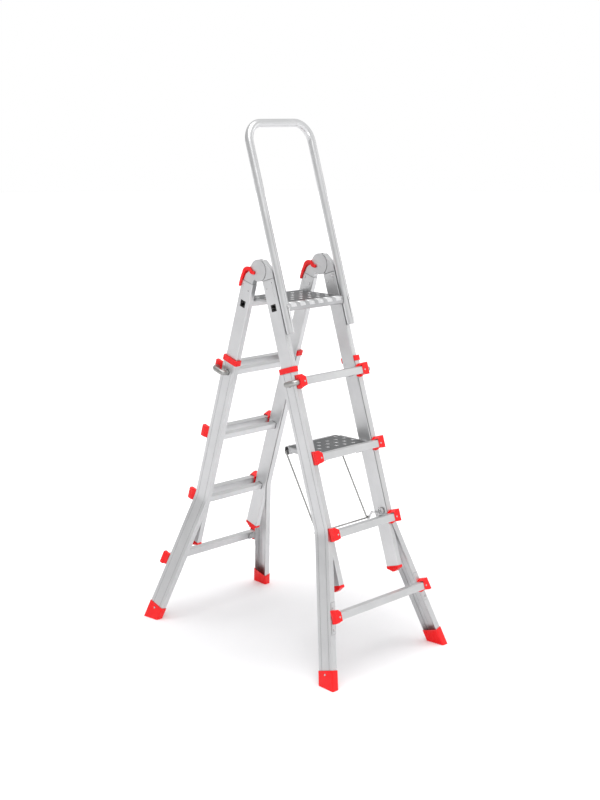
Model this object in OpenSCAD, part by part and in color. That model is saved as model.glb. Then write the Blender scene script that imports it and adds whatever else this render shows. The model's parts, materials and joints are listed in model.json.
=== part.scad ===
// Multi position ladder: two telescopic ladders joined by a locking hinge and
// standing as an A frame, with a guard rail, a top platform and a small shelf.
// Each half is drawn in its own upright frame: the hinge axis is the X axis,
// Z runs up the rails and -Y is the climbing side. lean_front and lean_back
// then tip the halves apart and lift them on to the floor.

/* [Ladder] */
// Distance between rungs along the rails
rung_pitch = 280; // [250:5:300]
// Half of the angle between the two ladders, in degrees
lean = 17.4; // [16:0.1:19]
// Distance from the hinge axis to the first rung
first_rung = 147; // [140:1:160]
// Height of the hinge axis above the floor
hinge_height = 1420.5; // [1419:0.5:1422]

/* [Inner ladder] */
// Overall width across the inner rails
inner_w = 340; // [330:1:350]
// Thickness of an inner rail across the ladder
rail_t = 23; // [22:0.5:25]
// Depth of an inner rail
rail_d = 60; // [58:1:62]
// Distance from the hinge plane to the middle of a rail
rail_offset = 40; // [39:0.5:42]
// Wall of the rail tubes
rail_wall = 2; // [1.6:0.1:3]
// Side of the square inner rungs
rung_side = 24; // [22:0.5:25]

/* [Outer ladder] */
// Wall of the outer channel rails
channel_wall = 3.2; // [2.6:0.1:3.6]
// Radius of the bend where the legs spread
bend_r = 150; // [100:10:250]
// Angle of the spread legs, in degrees
spread = 14.5; // [12:0.5:16]
// Height of the front face of an outer rung
outer_rung_h = 26; // [22:1:30]
// Distance that the ladder is drawn out, in rungs
drawn_out = 1; // [1:1:1]

/* [Guard rail] */
// Diameter of the guard rail tube
tube_d = 30; // [25:1:31]
// Radius of its corners at the middle of the tube
tube_bend = 72; // [60:1:90]
// Height of its top bar above the hinge axis, along the rails
tube_top = 519.5; // [450:0.5:560]

/* [Platforms] */
// Thickness of the tread sheet
sheet_t = 2.5; // [2:0.1:3]
// Height of the rounded nose
nose_h = 32; // [28:1:34]
// Width of the platforms
tread_w = 283; // [270:1:284]

/* [Hidden] */

aluminium = [0.80, 0.80, 0.81];
tread_grey = [0.47, 0.48, 0.48];
red = [0.93, 0.16, 0.17];
steel = [0.62, 0.62, 0.60];
black = [0.05, 0.05, 0.05];
sides = [-1, 1];

// Inner ladder: outer and inner faces of the rails, and their front and rear faces
inner_x = inner_w / 2;
clear_x = inner_x - rail_t;
rail_rear = rail_offset - rail_d / 2;
rail_front = rail_offset + rail_d / 2;
front_rail_top = 44;
back_rail_top = 61;
rail_end = 1168;
rung_r = 4;

// Outer ladder: the channel wraps the inner rail with a sliding gap
slide_gap = 0.7;
channel_x = inner_x + slide_gap + channel_wall;
channel_lip = inner_x - 19;
channel_rear = rail_rear - slide_gap - channel_wall;
channel_front = rail_front + slide_gap + channel_wall;
outer_top = 372;
bend_start = 950;
leg_end = 1475;
foot_top = 1441;
outer_rung_front = 105;
outer_rung_rear = channel_front + 4.6;
cap_x = channel_x + 5.5;
bend_x = channel_x + bend_r;
bend_steps = 12;
leg_start = bend_start + bend_r * sin(spread);
leg_length = (leg_end - leg_start) / cos(spread);
cap_w = 31;
cap_dot = 21;
lock_d = 20;
lock_x = channel_x + 24;
lock_bend = 16;
lock_y = [-rail_offset, -92];
gusset_t = 2;
low_rung = first_rung + 4 * rung_pitch;
gusset_top = low_rung - 52;
gusset_low = low_rung + 56;
gusset_rivets = [low_rung - 36, low_rung + 40];

// Guard rail
tube_x = 158;
tube_y = 87.5;
tube_end = 250;
screw_z = -first_rung - 8;

// Hinge
disc_r = 40;
hinge_pin_r = 9;
plate_t = 5;
hinge_gap = 0.4;
seam = 1.5;
arm_x0 = clear_x + 1;
arm_x1 = inner_x - 1;
rivet_r = 2.4;
lever_pivot = [-17, -15];
lever_w = 4.4;
lever_pin_r = 3;
lever_mid = [-44, -31];

// Platforms, in the upright frame of the floor
level_1 = [rail_offset * cos(lean) + first_rung * sin(lean),
  hinge_height + rail_offset * sin(lean) - first_rung * cos(lean)];
third = first_rung + 2 * rung_pitch;
level_3 = [rail_offset * cos(lean) + third * sin(lean),
  hinge_height + rail_offset * sin(lean) - third * cos(lean)];
tread_lift = 21;
hook_r = 15.8;
rest_h = 4.2;
top_back = 104;
top_front = -131;
shelf_back = -96;
shelf_front = -level_3[0] - 13;
stay_x = 135;
stay_r = 3;
stay_nose_w = 260;
nose = 19;
stay_top = [shelf_back - nose / 2 - 2, level_3[1] + tread_lift - nose_h / 2 - 3];
stay_low = [-268, hinge_height - 937];
curl_mid = [-331, hinge_height - 899];

module lean_front() {
  translate([0, 0, hinge_height]) rotate([-lean, 0, 0]) children();
}

module lean_back() {
  mirror([0, 1, 0]) lean_front() children();
}

// Draws on the right as it stands and on the left mirrored
module on_side(side) {
  mirror([side < 0 ? 1 : 0, 0, 0]) children();
}

// A box between two corners
module block(a, b) {
  translate([min(a[0], b[0]), min(a[1], b[1]), min(a[2], b[2])])
    cube([abs(b[0] - a[0]), abs(b[1] - a[1]), abs(b[2] - a[2])]);
}

// A rectangle with rounded corners, from one corner to the other
module round_rect(a, b, r) {
  union() {
    translate([a[0] + r, a[1]]) square([b[0] - a[0] - 2 * r, b[1] - a[1]]);
    translate([a[0], a[1] + r]) square([b[0] - a[0], b[1] - a[1] - 2 * r]);
    for (x = [a[0] + r, b[0] - r], y = [a[1] + r, b[1] - r])
      translate([x, y]) circle(r, $fn = 48);
  }
}

// A solid whose outline is drawn in the Y-Z plane, between two X positions
module side_plate(x0, x1) {
  translate([min(x0, x1), 0, 0]) rotate([90, 0, 90]) linear_extrude(abs(x1 - x0)) children();
}

module along_x(x0, x1, r, fn = 48) {
  translate([min(x0, x1), 0, 0]) rotate([0, 90, 0]) cylinder(h = abs(x1 - x0), r = r, $fn = fn);
}

module along_y(y0, y1, r, fn = 48) {
  translate([0, max(y0, y1), 0]) rotate([90, 0, 0]) cylinder(h = abs(y1 - y0), r = r, $fn = fn);
}

// ---- Inner ladder ----

module inner_rail(side, top) {
  color(aluminium) on_side(side) difference() {
    translate([0, 0, -rail_end]) linear_extrude(rail_end - top) difference() {
      round_rect([clear_x, -rail_front], [inner_x, -rail_rear], 3);
      round_rect([clear_x + rail_wall, -rail_front + rail_wall],
        [inner_x - rail_wall, -rail_rear - rail_wall], 1);
    }
    for (i = [0:3]) rung_place(i) block([clear_x - 1, -12.9, -12.9], [inner_x + 1, 12.9, 12.9]);
    arm_rivet_holes(top);
    if (top == front_rail_top) translate([tube_x, 0, screw_z]) along_y(-rail_front - 1, -rail_front + 8, 3.1, 32);
  }
}

module rung_place(i) {
  translate([0, -rail_offset, -first_rung - i * rung_pitch]) children();
}

module inner_rung(i) {
  s = rung_side / 2;
  color(aluminium) rung_place(i - 1) side_plate(-inner_x + 2.5, inner_x - 2.5) difference() {
    round_rect([-s, -s], [s, s], rung_r);
    round_rect([-s + 2, -s + 2], [s - 2, s - 2], rung_r - 2);
  }
}

// Black inserts in the ends of the rungs, which take the lock pins
module rung_sockets() {
  s = rung_side / 2 - 2.9;
  color(black) for (side = sides, i = [0:3]) rung_place(i) difference() {
    union() {
      block([side * (inner_x - 2.3), -12.7, -12.7], [side * (inner_x - 0.2), 12.7, 12.7]);
      block([side * (inner_x - 40), -s, -s], [side * (inner_x - 2.3), s, s]);
    }
    along_x(side * (inner_x - 34), side * (inner_x + 1), 9.5);
  }
}

module inner_end_caps() {
  color(red) for (side = sides) on_side(side) {
    translate([0, 0, -rail_end - 3]) linear_extrude(3)
      round_rect([clear_x - 1, -rail_front - 0.3], [inner_x + 0.3, -rail_rear + 0.3], 3);
    difference() {
      side_plate(clear_x, inner_x - 0.5) polygon([[-rail_front, -rail_end - 3],
        [-rail_rear, -rail_end - 3], [-rail_rear, -rail_end - 9], [-rail_offset + 4, -rail_end - 22],
        [-rail_offset - 4, -rail_end - 22], [-rail_front, -rail_end - 9]]);
      for (k = [-2:2], x = [clear_x - 1, inner_x - 3])
        block([x, -rail_offset + k * 10 - 2, -rail_end - 4], [x + 3, -rail_offset + k * 10 + 2, -rail_end - 30]);
    }
    translate([0, 0, -rail_end]) linear_extrude(14)
      round_rect([clear_x + rail_wall + 0.3, -rail_front + rail_wall + 0.3],
        [inner_x - rail_wall - 0.3, -rail_rear - rail_wall - 0.3], 1);
  }
}

// ---- Hinge ----

// Solid foot of an arm that is pushed into the top of a rail and riveted there
module arm_tongue(top) {
  block([clear_x + rail_wall + 0.3, -rail_front + rail_wall + 0.3, -top - 50],
    [inner_x - rail_wall - 0.3, -rail_rear - rail_wall - 0.3, seam - top]);
}

// Places of the two rivets of an arm, below the top of its rail
module at_rivets(top) {
  translate([0, -56, -top - 13]) children();
  translate([0, -26, -top - 30]) children();
}

module arm_rivet_holes(top) {
  at_rivets(top) along_x(clear_x - 2, inner_x + 2, rivet_r + 0.1);
}

// Front arm: a shoulder that carries on the line of the rail and one thick disc
module front_hinge_arms() {
  x0 = arm_x0 + plate_t + hinge_gap;
  x1 = arm_x1 - plate_t - hinge_gap;
  color(aluminium) for (side = sides) on_side(side) difference() {
    union() {
      difference() {
        side_plate(arm_x0, arm_x1) polygon([[-rail_front, seam - front_rail_top], [-rail_front, -26],
          [-68, -15], [-61, -5], [-52, 6], [-44, 18], [-37, 29], [-30, 33],
          [-20, 0], [-rail_rear, -30], [-rail_rear, seam - front_rail_top]]);
        along_x(arm_x0 - 1, arm_x1 + 1, disc_r + seam, 96);
      }
      along_x(x0, x1, disc_r - 3, 96);
      side_plate(x0, x1) polygon([[-rail_front + 4, seam - front_rail_top], [-50, -10], [-34, 18],
        [-12, -20], [-rail_rear - 4, seam - front_rail_top]]);
      arm_tongue(front_rail_top);
    }
    along_x(arm_x0 - 1, arm_x1 + 1, hinge_pin_r + 0.05);
    arm_rivet_holes(front_rail_top);
  }
}

// Back arm: two large discs, one each side of the front arm's disc, and a neck
module back_hinge_arms() {
  color(aluminium) for (side = sides) on_side(side) difference() {
    union() {
      for (x = [arm_x0, arm_x1 - plate_t]) {
        along_x(x, x + plate_t, disc_r, 96);
        side_plate(x, x + plate_t) back_neck();
      }
      difference() {
        side_plate(arm_x0, arm_x1) polygon([[-62, seam - back_rail_top], [-57, -36], [-44, -20],
          [-20, -38], [-12, -46], [-13, seam - back_rail_top]]);
        along_x(arm_x0 + plate_t, arm_x1 - plate_t, disc_r - 3 + hinge_gap, 96);
      }
      arm_tongue(back_rail_top);
    }
    along_x(arm_x0 + 1.5, arm_x1 - 1.5, hinge_pin_r + 0.05);
    arm_rivet_holes(back_rail_top);
    for (x = [arm_x0, arm_x1]) translate([x, lever_pivot[0], lever_pivot[1]])
      along_x(-plate_t + 0.6, plate_t - 0.6, lever_pin_r + 0.05);
  }
}

// Outline of the neck between the discs and the back rail
module back_neck() {
  polygon([[-62, seam - back_rail_top], [-57, -36], [-36, -14], [0, 0], [-8, -39],
    [-12, -46], [-13, seam - back_rail_top]]);
}

module hinge_rivets(top) {
  color(steel) for (side = sides) on_side(side) at_rivets(top) {
    along_x(clear_x - 0.5, inner_x + 0.3, rivet_r, 32);
    along_x(clear_x - 1.5, clear_x - 0.1, 4, 32);
  }
}

module hinge_pins() {
  color(steel) for (side = sides) on_side(side)
    translate([0, 0, hinge_height]) along_x(arm_x0 + 1.6, arm_x1 - 1.6, hinge_pin_r);
}

// Red unlocking lever: a cheek on each side of the rail, a bar behind it and stubs
// that turn in the plates of the back arm
module hinge_lever(side) {
  color(red) on_side(side) {
    side_plate(clear_x - lever_w, clear_x - 0.4) lever_outline();
    side_plate(inner_x + 0.4, inner_x + lever_w) lever_outline();
    translate([0, lever_pivot[0], lever_pivot[1]]) {
      along_x(clear_x - 0.5, arm_x0 + plate_t - 1, lever_pin_r);
      along_x(arm_x1 - plate_t + 1, inner_x + 0.5, lever_pin_r);
    }
    side_plate(clear_x - 1, inner_x + 1) intersection() {
      lever_outline();
      polygon([[-95, -95], [-rail_front - 0.5, -95], [-rail_front - 0.5, seam - back_rail_top + 0.5],
        [-66, seam - back_rail_top + 0.5], [-64, -10], [-95, -10]]);
    }
  }
}

// Hook shape of the lever seen from the side
module lever_outline() {
  translate(lever_mid) difference() {
    circle(28, $fn = 96);
    circle(15, $fn = 96);
    translate([-40, -40]) square([80, 40]);
    translate([10, -1]) square([30, 10]);
  }
  polygon([[-71.8, -30], [-59.4, -30], [-64.5, -56], [-67, -84], [-76.5, -84], [-75.5, -56]]);
  translate([-71.75, -84]) circle(4.75, $fn = 48);
  translate(lever_pivot) circle(6.5, $fn = 48);
}

// ---- Guard rail ----

module guard_rail() {
  r = tube_d / 2;
  color(aluminium) translate([0, -tube_y, 0]) difference() {
    guard_rail_solid(r);
    guard_rail_solid(r - 2);
    for (side = sides) translate([side * tube_x, 0, -tube_end - 1]) cylinder(h = 4, r = r - 2, $fn = 96);
    for (side = sides) translate([side * tube_x, 0, screw_z]) along_y(-20, 20, 3.1, 32);
  }
}

module guard_rail_solid(r) {
  straight = tube_top - tube_bend;
  for (side = sides) {
    translate([side * tube_x, 0, -tube_end]) cylinder(h = straight + tube_end, r = r, $fn = 96);
    on_side(side) translate([tube_x - tube_bend, 0, straight])
      rotate([90, 0, 0]) rotate_extrude(angle = 90, $fn = 96)
      translate([tube_bend, 0]) circle(r, $fn = 96);
  }
  translate([0, 0, tube_top]) along_x(-tube_x + tube_bend, tube_x - tube_bend, r, 96);
}

// A screw through each leg of the guard rail, with a collar against the rail
module guard_rail_screws() {
  color(steel) for (side = sides) translate([side * tube_x, 0, screw_z]) {
    along_y(-tube_y - tube_d / 2 - 0.6, -rail_front + 6, 3, 32);
    along_y(-tube_y - tube_d / 2 - 3, -tube_y - tube_d / 2 - 0.5, 6, 32);
    along_y(-rail_front - 2.4, -rail_front - 0.1, 7, 32);
  }
}

// ---- Outer ladder ----

// Line down a rail that starts at X x and keeps its distance to the outer face;
// more is added at both ends
function rail_line(x, more) = concat([[x, -outer_top + more]],
  [for (k = [0:bend_steps]) let (a = spread * k / bend_steps)
    [bend_x - (bend_x - x) * cos(a), -bend_start - (bend_x - x) * sin(a)]],
  [[bend_x - (bend_x - x) * cos(spread) + (leg_length + more) * sin(spread),
    -bend_start - (bend_x - x) * sin(spread) - (leg_length + more) * cos(spread)]]);

function backwards(list) = [for (k = [len(list) - 1:-1:0]) list[k]];

// Solid between two rail lines, from one Y to a higher one
module rail_strip(x0, x1, y0, y1, more = 0) {
  translate([0, y1, 0]) rotate([90, 0, 0]) linear_extrude(y1 - y0)
    polygon(concat(rail_line(x0, more), backwards(rail_line(x1, more))));
}

// Frame of the spread leg: Z runs back up the leg to the end of the bend
module in_leg() {
  translate([bend_x, 0, -bend_start]) rotate([0, -spread, 0]) translate([-bend_x, 0, 0]) children();
}

// X of the outer face of a leg at a distance below the hinge
function leg_x(s) = bend_x - bend_r * cos(spread) + (s - leg_start) * tan(spread);

// Distance down the leg frame for a distance below the hinge
function leg_z(s) = (leg_start - s) / cos(spread);

module outer_rail(side) {
  w = channel_wall;
  xi = inner_x + slide_gap;
  g = 1.1;
  color(aluminium) on_side(side) difference() {
    rail_strip(channel_lip, channel_x, -channel_front, -channel_rear);
    rail_strip(channel_lip - 2, xi, -channel_front + w, -channel_rear - w, 5);
    for (y = [-rail_offset - 19, -rail_offset + 19])
      rail_strip(channel_x - g, channel_x + 2, y - 1.5, y + 1.5, 5);
    for (y = [-rail_offset - 11, -rail_offset + 11])
      rail_strip(xi - 1, xi + g, y - 5, y + 5, 5);
    translate([0, -rail_offset, -outer_level(2)]) along_x(inner_x - 1, channel_x + 1, lock_d / 2 + 1);
  }
}

// Distance of an outer rung below the hinge
function outer_level(i) = first_rung + (i - 1) * rung_pitch;

// End of an outer rung: half of its length
function outer_half(i) = i < 5 ? cap_x - 14 : leg_x(outer_level(5)) - 9;

module outer_rung(i) {
  h = outer_rung_h / 2;
  rise = 4;
  x = outer_half(i);
  color(aluminium) translate([0, 0, -outer_level(i)]) side_plate(-x, x) difference() {
    polygon([[-outer_rung_front, h - 1.5], [-outer_rung_front + 1.5, h], [-outer_rung_rear, h + rise],
      [-outer_rung_rear, -h], [-outer_rung_front + 1.5, -h], [-outer_rung_front, -h + 1.5]]);
    translate([-outer_rung_front + 2, -h + 2])
      square([outer_rung_front - outer_rung_rear - 4, outer_rung_h - 4]);
  }
}

// Red caps at the ends of one outer rung, with a plate on the rail behind them
module rung_cap(i) {
  x1 = i < 5 ? cap_x : leg_x(outer_level(5)) + 5.5;
  slant = i < 5 ? 0 : tan(spread);
  h = outer_rung_h / 2;
  y1 = -outer_rung_front - 1.5;
  base_m = channel_front + (i < 5 ? 0.1 : gusset_t + 0.2);
  for (side = sides) on_side(side) translate([0, 0, -outer_level(i)]) difference() {
    union() {
      translate([0, -base_m, 0]) rotate([90, 0, 0]) linear_extrude(outer_rung_rear + 0.1 - base_m)
        polygon([[x1 - 38, -19], [x1 - 38, 12], [x1 - 32, 20], [x1 - 20, 26],
          [x1 - 2 - slant * 26, 27], [x1 - 2 + slant * 19, -20], [x1 - 24, -24]]);
      translate([0, -outer_rung_rear, 0]) rotate([90, 0, 0]) linear_extrude(-outer_rung_rear - y1)
        polygon([[x1 - cap_w, -15], [x1 - cap_w, 15.5], [x1 - 13 - slant * 26, 27],
          [x1 - slant * 27, 27], [x1 + slant * 19, -19], [x1 - 14 + slant * 19, -19]]);
    }
    block([x1 - 60, -outer_rung_front - 0.1, -h - 0.1],
      [outer_half(i) + 0.1, -outer_rung_rear + 0.1, h + 4.1]);
    translate([0, 0, -40]) linear_extrude(80) polygon([[x1 - 9, -channel_front + 1],
      [x1 + 9, -channel_front + 1], [x1 + 9, -90], [x1 - 0.5, -90], [x1 - 7, -outer_rung_rear - 1]]);
    if (i == 2) translate([0, lock_y[1], 0]) along_x(outer_half(i) - 1, cap_x + 1, lock_d / 2 + 0.4);
    block([x1 - 60, -outer_rung_rear - 1, -h], [x1 - 28.4, -base_m + 1, h]);
    translate([x1 - cap_dot, 0, 0]) along_y(y1 - 1, y1 + 4, rivet_r + 0.1, 32);
  }
}

module rung_caps() {
  color(red) for (i = [2:5]) rung_cap(i);
}

module outer_rivets() {
  y1 = -outer_rung_front - 1.5;
  color(steel) for (side = sides) on_side(side) {
    for (i = [2:5]) translate([(i < 5 ? cap_x : leg_x(outer_level(5)) + 5.5) - cap_dot, 0, -outer_level(i)]) {
      along_y(y1 - 0.2, y1 + 1.3, rivet_r, 32);
      along_y(y1 - 1, y1 - 0.1, 3.2, 32);
    }
    for (s = gusset_rivets) in_leg() translate([channel_lip + 12, 0, leg_z(s)])
      along_y(-channel_front - gusset_t - 1.2, -channel_front - gusset_t - 0.2, 3.6, 32);
    in_leg() translate([0, -rail_offset, leg_z(foot_top + 14)]) along_x(channel_x + 3.3, channel_x + 4.2, 3.6, 32);
  }
}

// Plates that brace the lowest rung against the legs
module gussets() {
  r = 26;
  x5 = leg_x(outer_level(5)) - (channel_x - channel_lip);
  color(aluminium) for (side = sides) on_side(side)
    translate([0, -channel_front - 0.1, 0]) rotate([90, 0, 0]) linear_extrude(gusset_t) union() {
      polygon([[leg_x(gusset_top) - 24, -gusset_top], [leg_x(gusset_top) - 4, -gusset_top],
        [leg_x(gusset_low) - 4, -gusset_low], [leg_x(gusset_low) - 24, -gusset_low]]);
      translate([x5 - 34, -outer_level(5) - 12]) square([50, 24]);
      for (up = sides) difference() {
        translate([x5 - r + 4 - up * 4, -outer_level(5) + (up > 0 ? 11 : -11 - r)]) square([r + 8, r]);
        translate([x5 - r + 4 - up * 4, -outer_level(5) + up * (11 + r)]) circle(r, $fn = 96);
      }
    }
}

// Red guides around the tops of the outer rails
module collars() {
  color(red) for (side = sides) on_side(side) difference() {
    translate([0, 0, -outer_top - 15]) linear_extrude(20)
      round_rect([channel_lip - 2.5, -channel_front - 3.5], [channel_x + 3.5, -channel_rear + 3.5], 4);
    block([clear_x - 5, -rail_front - slide_gap, -outer_top + 6],
      [inner_x + slide_gap, -rail_rear + slide_gap, -outer_top - 16]);
    block([channel_lip - 0.1, -channel_front - 0.1, -outer_top + 0.1],
      [channel_x + 0.1, -channel_rear + 0.1, -outer_top - 16]);
  }
}

// Red shoe that wraps the end of a leg; its sole is cut level with the floor
module foot(side) {
  color(red) difference() {
    lean_front() on_side(side) in_leg() difference() {
      translate([0, 0, leg_z(1560)]) linear_extrude(leg_z(foot_top) - leg_z(1560))
        round_rect([channel_lip - 3, -channel_front - 3.5], [channel_x + 3.2, -channel_rear + 3], 5);
      block([channel_lip - 0.1, -channel_front - 0.1, 10], [channel_x + 0.1, -channel_rear + 0.1, leg_z(leg_end) - 0.1]);
      block([channel_lip + 3, -channel_front + channel_wall + 8, 10],
        [channel_x - 8, -channel_rear - channel_wall - 8, leg_z(leg_end) + 4]);
      for (k = [-3:3])
        block([channel_lip - 4, -rail_offset + k * 9 - 2, leg_z(foot_top + 5)],
          [channel_lip - 1.6, -rail_offset + k * 9 + 2, leg_z(1560)]);
    }
    block([-700, -900, -400], [700, 900, 0]);
  }
}

// ---- Rung locks ----

// U-shaped rod: one leg slides in the rung cap, the other enters the rails
module lock(side) {
  r = lock_d / 2;
  color(steel) on_side(side) translate([0, 0, -outer_level(2)]) {
    translate([0, lock_y[0], 0]) along_x(inner_x + 1.2, lock_x - lock_bend, r);
    translate([0, lock_y[1], 0]) along_x(outer_half(2) - 24, lock_x - lock_bend, r);
    translate([lock_x, 0, 0]) along_y(lock_y[0] - lock_bend, lock_y[1] + lock_bend, r);
    translate([lock_x - lock_bend, lock_y[0] - lock_bend, 0]) rotate_extrude(angle = 90, $fn = 96)
      translate([lock_bend, 0]) circle(r, $fn = 48);
    translate([lock_x - lock_bend, lock_y[1] + lock_bend, 0]) rotate([0, 0, -90])
      rotate_extrude(angle = 90, $fn = 96) translate([lock_bend, 0]) circle(r, $fn = 48);
  }
}

// ---- Platforms ----

// Section of a tread at the origin: the sheet's top at Z 0 from Y 0 to its rear
// at Y length, and a hollow rounded nose in front of Y 0 with a screw channel
module tread_section(length) {
  w = sheet_t;
  translate([-0.1, -w]) square([length + 0.1, w]);
  difference() {
    union() {
      round_rect([-nose, -nose_h], [4, 0], 9);
      translate([-5, -w]) square([9, w]);
    }
    round_rect([-nose + w, -nose_h + w], [4 - w, -w], 6.5);
  }
}

// Curled screw channel inside the nose
module screw_channel() {
  translate([-nose / 2 + 2, -nose_h / 2 - 3]) difference() {
    circle(6, $fn = 64);
    circle(3.4, $fn = 64);
    translate([-2, 0]) square([4, 10]);
  }
  translate([-nose / 2 + 1, -nose_h + 1]) square([2, nose_h / 2 - 8]);
}

module skirts(y0, y1, depth) {
  for (side = sides) block([side * (tread_w / 2 - 2), y0, -depth], [side * tread_w / 2, y1, -1]);
}

module top_platform() {
  w = tread_w / 2;
  color(tread_grey) translate([0, top_front + nose, level_1[1] + tread_lift]) union() {
    side_plate(-w, w) tread_section(top_back - top_front - nose);
    side_plate(-w, w) screw_channel();
    skirts(60, 170, 9);
    for (side = sides) translate([side * 95, level_1[0] - top_front - nose, -sheet_t])
      block([-13, -8, -rest_h], [13, 8, 0.1]);
  }
}

// Clips that hold the front of the top platform on its rung and turn on it
module platform_hooks() {
  color(black) for (side = sides) translate([0, -level_1[0], level_1[1]])
    side_plate(side * 82, side * 108) clip_ring(tread_lift - sheet_t - 0.3);
}

module rear_shelf() {
  w = tread_w / 2;
  n = stay_nose_w / 2;
  length = shelf_back - nose - shelf_front;
  color(tread_grey) {
    translate([0, shelf_back - nose, level_3[1] + tread_lift]) mirror([0, 1, 0]) union() {
      side_plate(-n, n) tread_section(10);
      side_plate(-n, n) screw_channel();
      block([-w, 9, -sheet_t], [w, length, 0]);
      skirts(24, length - 38, 16);
    }
    for (side = sides) translate([0, -level_3[0], level_3[1]])
      side_plate(side * 82, side * 108) clip_ring(tread_lift - sheet_t + 0.4);
  }
}

// Open ring that clips round a rung from above
module clip_ring(r) {
  difference() {
    circle(r, $fn = 96);
    circle(hook_r, $fn = 96);
    translate([-9, -30]) square([18, 20]);
  }
}

// Two rods that stay the shelf, joined by a crossbar, with stubs into the nose
module shelf_stays() {
  color(steel) {
    for (side = sides) {
      rod_yz(side * stay_x, stay_top, stay_low);
      translate([0, stay_top[0], stay_top[1]]) along_x(side * (stay_nose_w / 2 - 16), side * stay_x, stay_r);
      translate([side * stay_x, stay_top[0], stay_top[1]]) sphere(stay_r, $fn = 48);
    }
    translate([0, stay_low[0], stay_low[1]]) along_x(-stay_x - 9, stay_x + 9, stay_r);
  }
}

// A rod between two points of a plane across X
module rod_yz(x, a, b) {
  d = b - a;
  translate([x, a[0], a[1]]) rotate([atan2(-d[0], d[1]), 0, 0]) cylinder(h = norm(d), r = stay_r, $fn = 48);
}

// Curled plates that hook the stays over the rung below
module stay_hooks() {
  color(aluminium) for (side = sides)
    side_plate(side * (stay_x + 3.3), side * (stay_x + 8.5)) difference() {
      union() {
        difference() {
          translate(curl_mid) circle(13, $fn = 96);
          translate(curl_mid) circle(10, $fn = 96);
          translate(curl_mid + [-4, -20]) square([8, 20]);
        }
        translate(curl_mid + [-2, 1]) difference() {
          circle(7, $fn = 64);
          circle(4.5, $fn = 64);
        }
        translate(curl_mid + [3, -13]) square([42, 3]);
        translate(curl_mid + [8, 6]) square([4, 5]);
        polygon([curl_mid + [40, -13], curl_mid + [44, -8], stay_low + [-3, 6], stay_low + [5, 2],
          stay_low + [4, -6], stay_low + [-6, -6]]);
        translate(stay_low) circle(7, $fn = 48);
      }
      translate(stay_low) circle(stay_r + 0.1, $fn = 48);
    }
}

for (i = [0:1]) {
  side = sides[i];
  word = ["left", "right"][i];
  lean_front() inner_rail(side, front_rail_top);
  lean_back() inner_rail(side, back_rail_top);
  lean_front() outer_rail(side);
  lean_back() outer_rail(side);
  lean_back() hinge_lever(side);
  lean_front() lock(side);
  lean_back() lock(side);
  foot(side);
  mirror([0, 1, 0]) foot(side);
}
for (i = [1:4]) {
  lean_front() inner_rung(i);
  lean_back() inner_rung(i);
}
for (i = [2:5]) {
  lean_front() outer_rung(i);
  lean_back() outer_rung(i);
}
lean_front() rung_sockets();  // front_rung_sockets
lean_back() rung_sockets();  // back_rung_sockets
lean_front() inner_end_caps();  // front_inner_end_caps
lean_back() inner_end_caps();  // back_inner_end_caps
lean_front() front_hinge_arms();
lean_back() back_hinge_arms();
lean_front() hinge_rivets(front_rail_top);  // front_hinge_rivets
lean_back() hinge_rivets(back_rail_top);  // back_hinge_rivets
hinge_pins();
lean_front() guard_rail();
lean_front() guard_rail_screws();
lean_front() collars();  // front_collars
lean_back() collars();  // back_collars
lean_front() rung_caps();  // front_rung_caps
lean_back() rung_caps();  // back_rung_caps
lean_front() outer_rivets();  // front_outer_rivets
lean_back() outer_rivets();  // back_outer_rivets
lean_front() gussets();  // front_gussets
lean_back() gussets();  // back_gussets
top_platform();
platform_hooks();
rear_shelf();
shelf_stays();
stay_hooks();
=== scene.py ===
import json
import math
import bpy
import bmesh
from mathutils import Matrix, Vector


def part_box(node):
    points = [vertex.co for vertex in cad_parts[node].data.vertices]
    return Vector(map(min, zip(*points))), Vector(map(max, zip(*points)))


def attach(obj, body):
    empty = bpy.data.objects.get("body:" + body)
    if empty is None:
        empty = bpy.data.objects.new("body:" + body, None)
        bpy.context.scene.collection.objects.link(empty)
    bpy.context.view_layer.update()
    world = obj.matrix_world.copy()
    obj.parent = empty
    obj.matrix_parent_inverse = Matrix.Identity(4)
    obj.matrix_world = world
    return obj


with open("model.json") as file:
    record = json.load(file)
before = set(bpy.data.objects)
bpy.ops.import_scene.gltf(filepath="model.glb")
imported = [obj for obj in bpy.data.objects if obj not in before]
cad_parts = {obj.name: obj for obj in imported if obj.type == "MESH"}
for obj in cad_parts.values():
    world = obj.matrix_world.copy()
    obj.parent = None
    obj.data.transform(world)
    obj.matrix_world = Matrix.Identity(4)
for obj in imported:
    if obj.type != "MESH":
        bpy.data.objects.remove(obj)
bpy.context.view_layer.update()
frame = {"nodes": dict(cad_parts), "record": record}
scene = bpy.context.scene
JOINTS = {j["name"]: j for j in frame["record"]["behaviour"]["joints"]}
HINGE_Z = JOINTS["frame_fold"]["pos_m"][2]
# Closing the frame takes up the lean of both halves
LEAN = math.radians(-JOINTS["frame_fold"]["range_deg"][0] / 2)

# Sockets of a Mix node in colour mode
MIX_A, MIX_B, MIX_OUT = 6, 7, 2

# Treads, in metres
NOSE_R = 0.009
NOSE_TOP = 0.008
NOSE_FACE = 0.010
NOSE_DEPTH = 0.019
BAR_LIFT = 0.0009
SUNK = 0.0003
# Thickness of the thin dark sheet of painted shade on the tread flats
SHADE_SHEET_T = 0.0008
SHELF_HALF = 0.129

# Light and backdrop
SKY_LEVEL = 0.60
SKY_SLOPE = (0.10, -0.11, 0.12)
# Painted shadow pool on the floor: no glow inside SHADE_R, glowing up to FLOOR_GLOW by WHITE_R
FLOOR_R = 30
SHADE_R = 0.25
WHITE_R = 1.25
FLOOR_GLOW = 0.35

# Camera, seen from the hinge
CAMERA_X, CAMERA_Y, CAMERA_UP = -3.546, -3.592, 0.562
CAMERA_DOWN, CAMERA_TURN = 11.98, -45


# ---- Materials ----

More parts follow.
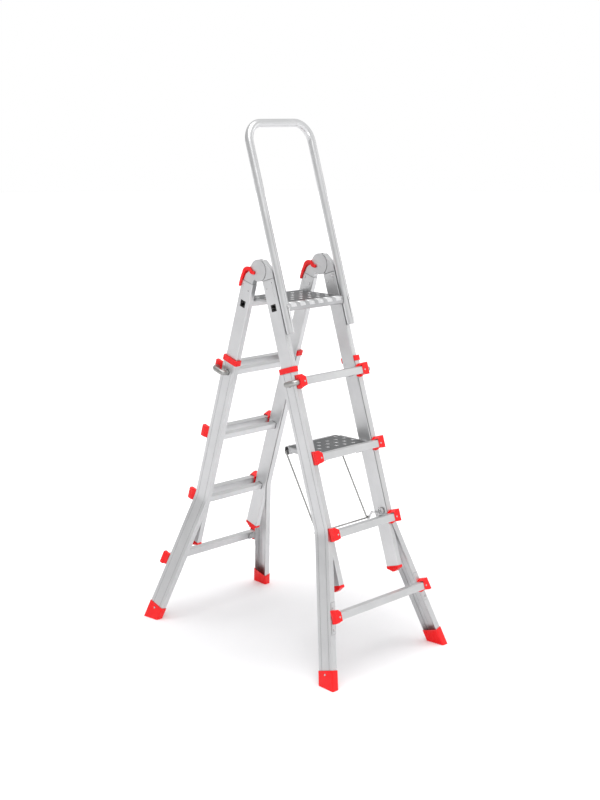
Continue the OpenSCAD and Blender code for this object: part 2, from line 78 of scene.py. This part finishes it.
def node_material(name):
    """New material with a Principled shader and nothing else"""
    mat = bpy.data.materials.new(name)
    mat.use_nodes = True
    tree = mat.node_tree
    tree.nodes.clear()
    out = tree.nodes.new("ShaderNodeOutputMaterial")
    shader = tree.nodes.new("ShaderNodeBsdfPrincipled")
    tree.links.new(shader.outputs["BSDF"], out.inputs["Surface"])
    return mat, tree, shader


def noise(tree, vector, scale, detail=4, rough=0.55):
    n = tree.nodes.new("ShaderNodeTexNoise")
    n.inputs["Scale"].default_value = scale
    n.inputs["Detail"].default_value = detail
    n.inputs["Roughness"].default_value = rough
    tree.links.new(vector, n.inputs["Vector"])
    return n.outputs["Fac"]


def remap(tree, value, low, high):
    """Stretches a 0 to 1 value to a range"""
    r = tree.nodes.new("ShaderNodeMapRange")
    r.inputs["To Min"].default_value = low
    r.inputs["To Max"].default_value = high
    tree.links.new(value, r.inputs["Value"])
    return r.outputs["Result"]


def tint(tree, value, dark, light):
    """Turns a noise value into a tone between two colours"""
    ramp = tree.nodes.new("ShaderNodeValToRGB")
    ramp.color_ramp.elements[0].position = 0.3
    ramp.color_ramp.elements[1].position = 0.7
    ramp.color_ramp.elements[0].color = (*dark, 1)
    ramp.color_ramp.elements[1].color = (*light, 1)
    tree.links.new(value, ramp.inputs["Fac"])
    return ramp.outputs["Color"]


def bump(tree, shader, height, strength, distance):
    b = tree.nodes.new("ShaderNodeBump")
    b.inputs["Strength"].default_value = strength
    b.inputs["Distance"].default_value = distance
    tree.links.new(height, b.inputs["Height"])
    tree.links.new(b.outputs["Normal"], shader.inputs["Normal"])


def object_space(tree, turn=(0, 0, 0), stretch=(1, 1, 1)):
    """Object coordinates turned and stretched, and the same left plain"""
    coords = tree.nodes.new("ShaderNodeTexCoord")
    turned = tree.nodes.new("ShaderNodeVectorRotate")
    turned.rotation_type = "EULER_XYZ"
    turned.inputs["Rotation"].default_value = turn
    tree.links.new(coords.outputs["Object"], turned.inputs["Vector"])
    scaled = tree.nodes.new("ShaderNodeVectorMath")
    scaled.operation = "MULTIPLY"
    scaled.inputs[1].default_value = stretch
    tree.links.new(turned.outputs["Vector"], scaled.inputs[0])
    return scaled.outputs["Vector"], coords.outputs["Object"]


def painted_crevice_shade(tree, colour, reach=0.004, deep=0.25):
    """Painted shade: darkens the colour in narrow gaps and seams, where ambient occlusion
    finds close surfaces
    """
    near = tree.nodes.new("ShaderNodeAmbientOcclusion")
    near.inputs["Distance"].default_value = reach
    near.samples = 8
    shade = remap(tree, near.outputs["AO"], deep, 1)
    mix = tree.nodes.new("ShaderNodeMix")
    mix.data_type = "RGBA"
    mix.blend_type = "MULTIPLY"
    mix.inputs["Factor"].default_value = 1
    tree.links.new(colour, mix.inputs[MIX_A])
    tree.links.new(shade, mix.inputs[MIX_B])
    return mix.outputs[MIX_OUT]


def metal(name, dark, light, turn=(0, 0, 0), stretch=(1, 1, 0.02), rough=(0.3, 0.42),
          metallic=0.85, lines=900, depth=0.00004):
    """Extruded or drawn metal with fine die lines along one direction, faint cloudy tone and
    painted shade in its narrow gaps and seams
    """
    mat, tree, shader = node_material(name)
    along, plain = object_space(tree, turn, stretch)
    streaks = noise(tree, along, lines, 3, 0.6)
    cloud = noise(tree, plain, 9, 5)
    # Base colour: cloudy tone, with painted shade darkening narrow gaps and seams
    tree.links.new(painted_crevice_shade(tree, tint(tree, cloud, dark, light)), shader.inputs["Base Color"])
    mixed = tree.nodes.new("ShaderNodeMath")
    mixed.operation = "MULTIPLY_ADD"
    mixed.inputs[1].default_value = 0.6
    tree.links.new(streaks, mixed.inputs[0])
    tree.links.new(remap(tree, cloud, 0, 0.4), mixed.inputs[2])
    tree.links.new(remap(tree, mixed.outputs["Value"], *rough), shader.inputs["Roughness"])
    bump(tree, shader, streaks, 0.5, depth)
    shader.inputs["Metallic"].default_value = metallic
    return mat


def plastic(name, dark, light, rough, coat=0.0, specular=0.5, grain=1400, depth=0.00003):
    """Moulded plastic with a fine grain"""
    mat, tree, shader = node_material(name)
    _, plain = object_space(tree)
    cloud = noise(tree, plain, 25, 4)
    fine = noise(tree, plain, grain, 2)
    tree.links.new(tint(tree, cloud, dark, light), shader.inputs["Base Color"])
    tree.links.new(remap(tree, cloud, *rough), shader.inputs["Roughness"])
    bump(tree, shader, fine, 0.5, depth)
    shader.inputs["Specular IOR Level"].default_value = specular
    shader.inputs["Coat Weight"].default_value = coat
    shader.inputs["Coat Roughness"].default_value = 0.15
    return mat


def grey(level):
    """Slightly cool grey of bare aluminium"""
    return level, level + 0.005, level + 0.01


rails_front = metal("alu_rails_front", grey(0.66), grey(0.73), turn=(LEAN, 0, 0))
rails_back = metal("alu_rails_back", grey(0.66), grey(0.73), turn=(-LEAN, 0, 0))
across = metal("alu_rungs", grey(0.66), grey(0.73), stretch=(0.02, 1, 1))
cast = metal("alu_cast", grey(0.64), grey(0.71), stretch=(1, 1, 1), rough=(0.38, 0.5),
             lines=700, depth=0.00008)
tube = metal("alu_tube", grey(0.69), grey(0.76), turn=(LEAN, 0, 0), rough=(0.24, 0.34))
# Very dark copy of the tread aluminium: painted shade for the flat between the pressed bars
shade_sheet_metal = metal("tread_sheet_painted_shade", grey(0.13), grey(0.18), stretch=(0.03, 1, 1),
                    rough=(0.38, 0.5), metallic=0.6)
dimple_metal = metal("tread_dimples", grey(0.62), grey(0.72), stretch=(0.05, 1, 1),
                     rough=(0.25, 0.38))
# Darker copy of the tread aluminium, painted shade between the nose's raised bars, used on the
# whole platform and shelf; the bars get a lighter copy, a painted highlight
painted_shade_tread_metal = metal("tread_nose", grey(0.47), grey(0.56), stretch=(0.03, 1, 1),
                   rough=(0.25, 0.4))
painted_light_nose_bars = metal("tread_nose_bars", grey(0.72), grey(0.80), stretch=(0.03, 1, 1),
                  rough=(0.3, 0.42), metallic=0.6)
zinc = metal("zinc_steel", (0.36, 0.36, 0.35), (0.47, 0.47, 0.455), stretch=(1, 1, 1),
             rough=(0.25, 0.4), lines=500)
bright = metal("rivet_steel", (0.62, 0.62, 0.62), (0.76, 0.76, 0.76), stretch=(1, 1, 1),
               rough=(0.18, 0.3), lines=600)
red = plastic("red_plastic", (0.90, 0.004, 0.006), (0.96, 0.007, 0.009), rough=(0.3, 0.42),
              coat=0.1, specular=0.35)
black = plastic("black_plastic", (0.004, 0.004, 0.004), (0.009, 0.009, 0.009),
                rough=(0.5, 0.6))


def material_for(name):
    """Material of a CAD node"""
    if any(word in name for word in ("rung_caps", "collars", "foot", "end_caps", "lever")):
        return red
    if "sockets" in name or name == "platform_hooks":
        return black
    if "rivets" in name or "screws" in name:
        return bright
    if name.startswith("lock") or name in ("shelf_stays", "hinge_pins"):
        return zinc
    if name in ("guard_rail", "stay_hooks"):
        return tube
    if "hinge_arms" in name:
        return cast
    if "rung" in name:
        return across
    # Platform and shelf take the darker tread metal with painted shade
    if name in ("top_platform", "rear_shelf"):
        return painted_shade_tread_metal
    return rails_front if name.startswith("front") else rails_back


def edge_width(name):
    """Rounding of a CAD node's edges, in metres"""
    if "foot" in name or "rung_caps" in name or "collars" in name:
        return 0.0012
    if "lever" in name or "hinge_arms" in name:
        return 0.001
    if "rivets" in name or "screws" in name or name in ("stay_hooks", "hinge_pins"):
        return 0.0003
    return 0.0006


# ---- CAD nodes: material, smooth faces and rounded edges ----
for name, obj in frame["nodes"].items():
    obj.data.materials.clear()
    obj.data.materials.append(material_for(name))
    if "custom_normal" in obj.data.attributes:
        obj.data.attributes.remove(obj.data.attributes["custom_normal"])
    for face in obj.data.polygons:
        face.use_smooth = True
    weld = obj.modifiers.new("weld", "WELD")
    weld.merge_threshold = 0.00001
    edge = obj.modifiers.new("edge", "BEVEL")
    edge.width = edge_width(name)
    edge.segments = 2
    edge.limit_method = "ANGLE"
    edge.angle_limit = math.radians(32)
    edge.harden_normals = True


# ---- Tread details ----
def add_mesh(name, bm, material, body, smooth=True):
    """Makes a piece from a bmesh and lets it ride on a body"""
    bmesh.ops.recalc_face_normals(bm, faces=bm.faces)
    data = bpy.data.meshes.new(name)
    bm.to_mesh(data)
    bm.free()
    for face in data.polygons:
        face.use_smooth = smooth
    obj = bpy.data.objects.new(name, data)
    scene.collection.objects.link(obj)
    data.materials.append(material)
    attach(obj, body)
    return obj


def dimple(bm, x, y, z, angle, long=0.0092, wide=0.0029, height=0.0013):
    """One pressed oval bar of the tread: a low dome with a soft foot"""
    rings = ((1.0, -0.2), (0.93, 0.25), (0.78, 0.7), (0.5, 0.95), (0.22, 1.0))
    turns = 18
    c, s = math.cos(angle), math.sin(angle)
    loops = []
    for size, up in rings:
        loop = []
        for i in range(turns):
            u = long * size * math.cos(2 * math.pi * i / turns)
            v = wide * size * math.sin(2 * math.pi * i / turns)
            loop.append(bm.verts.new((x + u * c - v * s, y + u * s + v * c, z + height * up)))
        loops.append(loop)
    for a, b in zip(loops, loops[1:]):
        for i in range(turns):
            bm.faces.new((a[i], a[(i + 1) % turns], b[(i + 1) % turns], b[i]))
    bm.faces.new(loops[-1])
    bm.faces.new(list(reversed(loops[0])))


def dimples(name, body, z, y0, y1, half_w, pitch_u=0.032, pitch_v=0.0235, margin=0.008):
    """Staggered pressed bars on a diagonal grid, all along one diagonal of the tread"""
    bm = bmesh.new()
    mid = (y0 + y1) / 2
    for i in range(-9, 10):
        for j in range(-12, 13):
            u, v = i * pitch_u, j * pitch_v
            x, y = (u + v) * math.sqrt(0.5), mid + (v - u) * math.sqrt(0.5)
            inside = abs(x) < half_w - margin and y0 + margin < y < y1 - margin
            if inside and (i + j) % 2 == 0:
                dimple(bm, x, y, z, math.radians(-45))
    return add_mesh(name, bm, dimple_metal, body)


def nose_point(t, front, top, out, facing):
    """Point of the nose's section: 0 at the rear of its top, 1 at the bottom of its face"""
    arc = math.pi / 2 * NOSE_R
    s = t * (NOSE_TOP + arc + NOSE_FACE)
    if s < NOSE_TOP:
        return front - facing * (NOSE_R + NOSE_TOP - s), top + out
    if s < NOSE_TOP + arc:
        a = (s - NOSE_TOP) / NOSE_R
        r = NOSE_R + out
        return front - facing * (NOSE_R - r * math.sin(a)), top - NOSE_R + r * math.cos(a)
    return front + facing * out, top - NOSE_R - (s - NOSE_TOP - arc)


def nose_pattern(name, body, front, top, facing, half_w, pitch=0.0465):
    """Slanted raised bars that run over the rounded nose"""
    bm = bmesh.new()
    count = int(2 * half_w / pitch)
    x0 = -count * pitch / 2
    steps = 14
    rim = 0.0012
    slant = pitch * 0.35
    for i in range(count):
        left, right = x0 + i * pitch + 0.006, x0 + (i + 1) * pitch - 0.012
        rows = []
        for k in range(steps + 1):
            t = 0.06 + 0.88 * k / steps
            lift = BAR_LIFT if 0 < k < steps else -SUNK
            row = []
            for j, x in enumerate((left, left + rim, (left + right) / 2, right - rim, right)):
                out = -SUNK if j in (0, 4) else lift
                y, z = nose_point(t, front, top, out, facing)
                shift = slant * (t - 0.5)
                row.append(bm.verts.new((max(-half_w, min(half_w, x + shift)), y, z)))
            rows.append(row)
        for a, b in zip(rows, rows[1:]):
            for j in range(4):
                bm.faces.new((a[j], a[j + 1], b[j + 1], b[j]))
    # The bars take the lighter copy of the tread metal, a painted highlight
    return add_mesh(name, bm, painted_light_nose_bars, body)


def painted_shade_sheet(name, body, z, y0, y1, half_w):
    """Thin dark sheet over the flat of the tread: painted shade between the pressed bars"""
    bm = bmesh.new()
    bmesh.ops.create_cube(bm, size=1, matrix=Matrix.LocRotScale(
        Vector((0, (y0 + y1) / 2, z)), None, Vector((2 * half_w, y1 - y0, SHADE_SHEET_T))))
    return add_mesh(name, bm, shade_sheet_metal, body, smooth=False)


lo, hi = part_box("top_platform")
# Each tread gets a thin dark sheet of painted shade on its flat
painted_shade_sheet("top_tread_painted_shade", "top_tread", hi.z, lo.y + NOSE_DEPTH, hi.y - 0.003, hi.x - 0.003)
dimples("top_tread_dimples", "top_tread", hi.z, lo.y + NOSE_DEPTH + 0.001, hi.y - 0.004,
        hi.x - 0.004)
nose_pattern("top_tread_nose", "top_tread", lo.y, hi.z, -1, hi.x - 0.001)
lo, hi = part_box("rear_shelf")
painted_shade_sheet("shelf_painted_shade", "shelf", hi.z, lo.y + 0.004, hi.y - NOSE_DEPTH, SHELF_HALF)
dimples("shelf_dimples", "shelf", hi.z, lo.y + 0.005, hi.y - NOSE_DEPTH - 0.001,
        SHELF_HALF - 0.001)
nose_pattern("shelf_nose", "shelf", hi.y, hi.z, 1, SHELF_HALF)

# ---- Floor, light and camera ----
bm = bmesh.new()
bmesh.ops.create_circle(bm, cap_ends=True, segments=96, radius=FLOOR_R)
data = bpy.data.meshes.new("floor")
bm.to_mesh(data)
bm.free()
floor = bpy.data.objects.new("floor", data)
scene.collection.objects.link(floor)
mat, tree, shader = node_material("floor_white")
_, plain = object_space(tree)
mottle = tint(tree, noise(tree, plain, 3), (0.84, 0.835, 0.845), (0.86, 0.855, 0.865))
tree.links.new(mottle, shader.inputs["Base Color"])
shader.inputs["Roughness"].default_value = 0.9
shader.inputs["Specular IOR Level"].default_value = 0.1
# Painted shadow pool: the floor glows to the backdrop's white away from the ladder, to the
# camera only, and stays darker around the ladder
reach = tree.nodes.new("ShaderNodeVectorMath")
reach.operation = "LENGTH"
tree.links.new(plain, reach.inputs[0])
painted_shadow_pool = tree.nodes.new("ShaderNodeMapRange")
painted_shadow_pool.interpolation_type = "SMOOTHSTEP"
painted_shadow_pool.inputs["From Min"].default_value = SHADE_R
painted_shadow_pool.inputs["From Max"].default_value = WHITE_R
painted_shadow_pool.inputs["To Max"].default_value = FLOOR_GLOW
tree.links.new(reach.outputs["Value"], painted_shadow_pool.inputs["Value"])
path = tree.nodes.new("ShaderNodeLightPath")
glow = tree.nodes.new("ShaderNodeMath")
glow.operation = "MULTIPLY"
tree.links.new(painted_shadow_pool.outputs["Result"], glow.inputs[0])
tree.links.new(path.outputs["Is Camera Ray"], glow.inputs[1])
tree.links.new(glow.outputs["Value"], shader.inputs["Emission Strength"])
shader.inputs["Emission Color"].default_value = (1, 1, 1, 1)
data.materials.append(mat)


def area(name, place, target, size, power):
    """Round area light aimed at a point"""
    light = bpy.data.lights.new(name, "AREA")
    light.shape = "DISK"
    light.size = size
    light.energy = power
    obj = bpy.data.objects.new(name, light)
    obj.location = place
    obj.rotation_euler = (Vector(target) - Vector(place)).to_track_quat("-Z", "Y").to_euler()
    scene.collection.objects.link(obj)


area("key", (-2.5, -3.0, 5.5), (0, 0, 0.8), 3.0, 50)
area("side_strip", (5.0, -2.5, 2.6), (0, 0, 1.0), 2.2, 15)
area("low_fill", (-3.6, -4.4, 0.9), (0, 0, 0.3), 2.0, 30)

sun = bpy.data.objects.new("sky_sun", bpy.data.lights.new("sky_sun", "SUN"))
sun.data.energy = 1.5
sun.data.angle = math.radians(50)
sun.rotation_euler = (math.radians(6), math.radians(-5), 0)
scene.collection.objects.link(sun)

# The studio is plain white to the camera, and a soft gradient to the object
world = bpy.data.worlds.new("studio")
scene.world = world
world.use_nodes = True
tree = world.node_tree
background = tree.nodes["Background"]
coords = tree.nodes.new("ShaderNodeTexCoord")
slope = tree.nodes.new("ShaderNodeVectorMath")
slope.operation = "DOT_PRODUCT"
slope.inputs[1].default_value = SKY_SLOPE
tree.links.new(coords.outputs["Generated"], slope.inputs[0])
level = tree.nodes.new("ShaderNodeMath")
level.operation = "ADD"
level.inputs[1].default_value = SKY_LEVEL
tree.links.new(slope.outputs["Value"], level.inputs[0])
path = tree.nodes.new("ShaderNodeLightPath")
seen = tree.nodes.new("ShaderNodeMix")
seen.data_type = "FLOAT"
seen.inputs["B"].default_value = 1.0
tree.links.new(path.outputs["Is Camera Ray"], seen.inputs["Factor"])
tree.links.new(level.outputs["Value"], seen.inputs["A"])
tree.links.new(seen.outputs["Result"], background.inputs["Strength"])
background.inputs["Color"].default_value = (1, 1, 1, 1)

camera = bpy.data.objects.new("camera", bpy.data.cameras.new("camera"))
scene.collection.objects.link(camera)
camera.data.lens = 61.45
camera.data.sensor_width = 36
camera.data.shift_y = 0.0019
camera.data.clip_end = 200
camera.location = (CAMERA_X, CAMERA_Y, HINGE_Z + CAMERA_UP)
camera.rotation_euler = (math.radians(90 - CAMERA_DOWN), 0, math.radians(CAMERA_TURN))
scene.camera = camera
scene.view_settings.view_transform = "Standard"
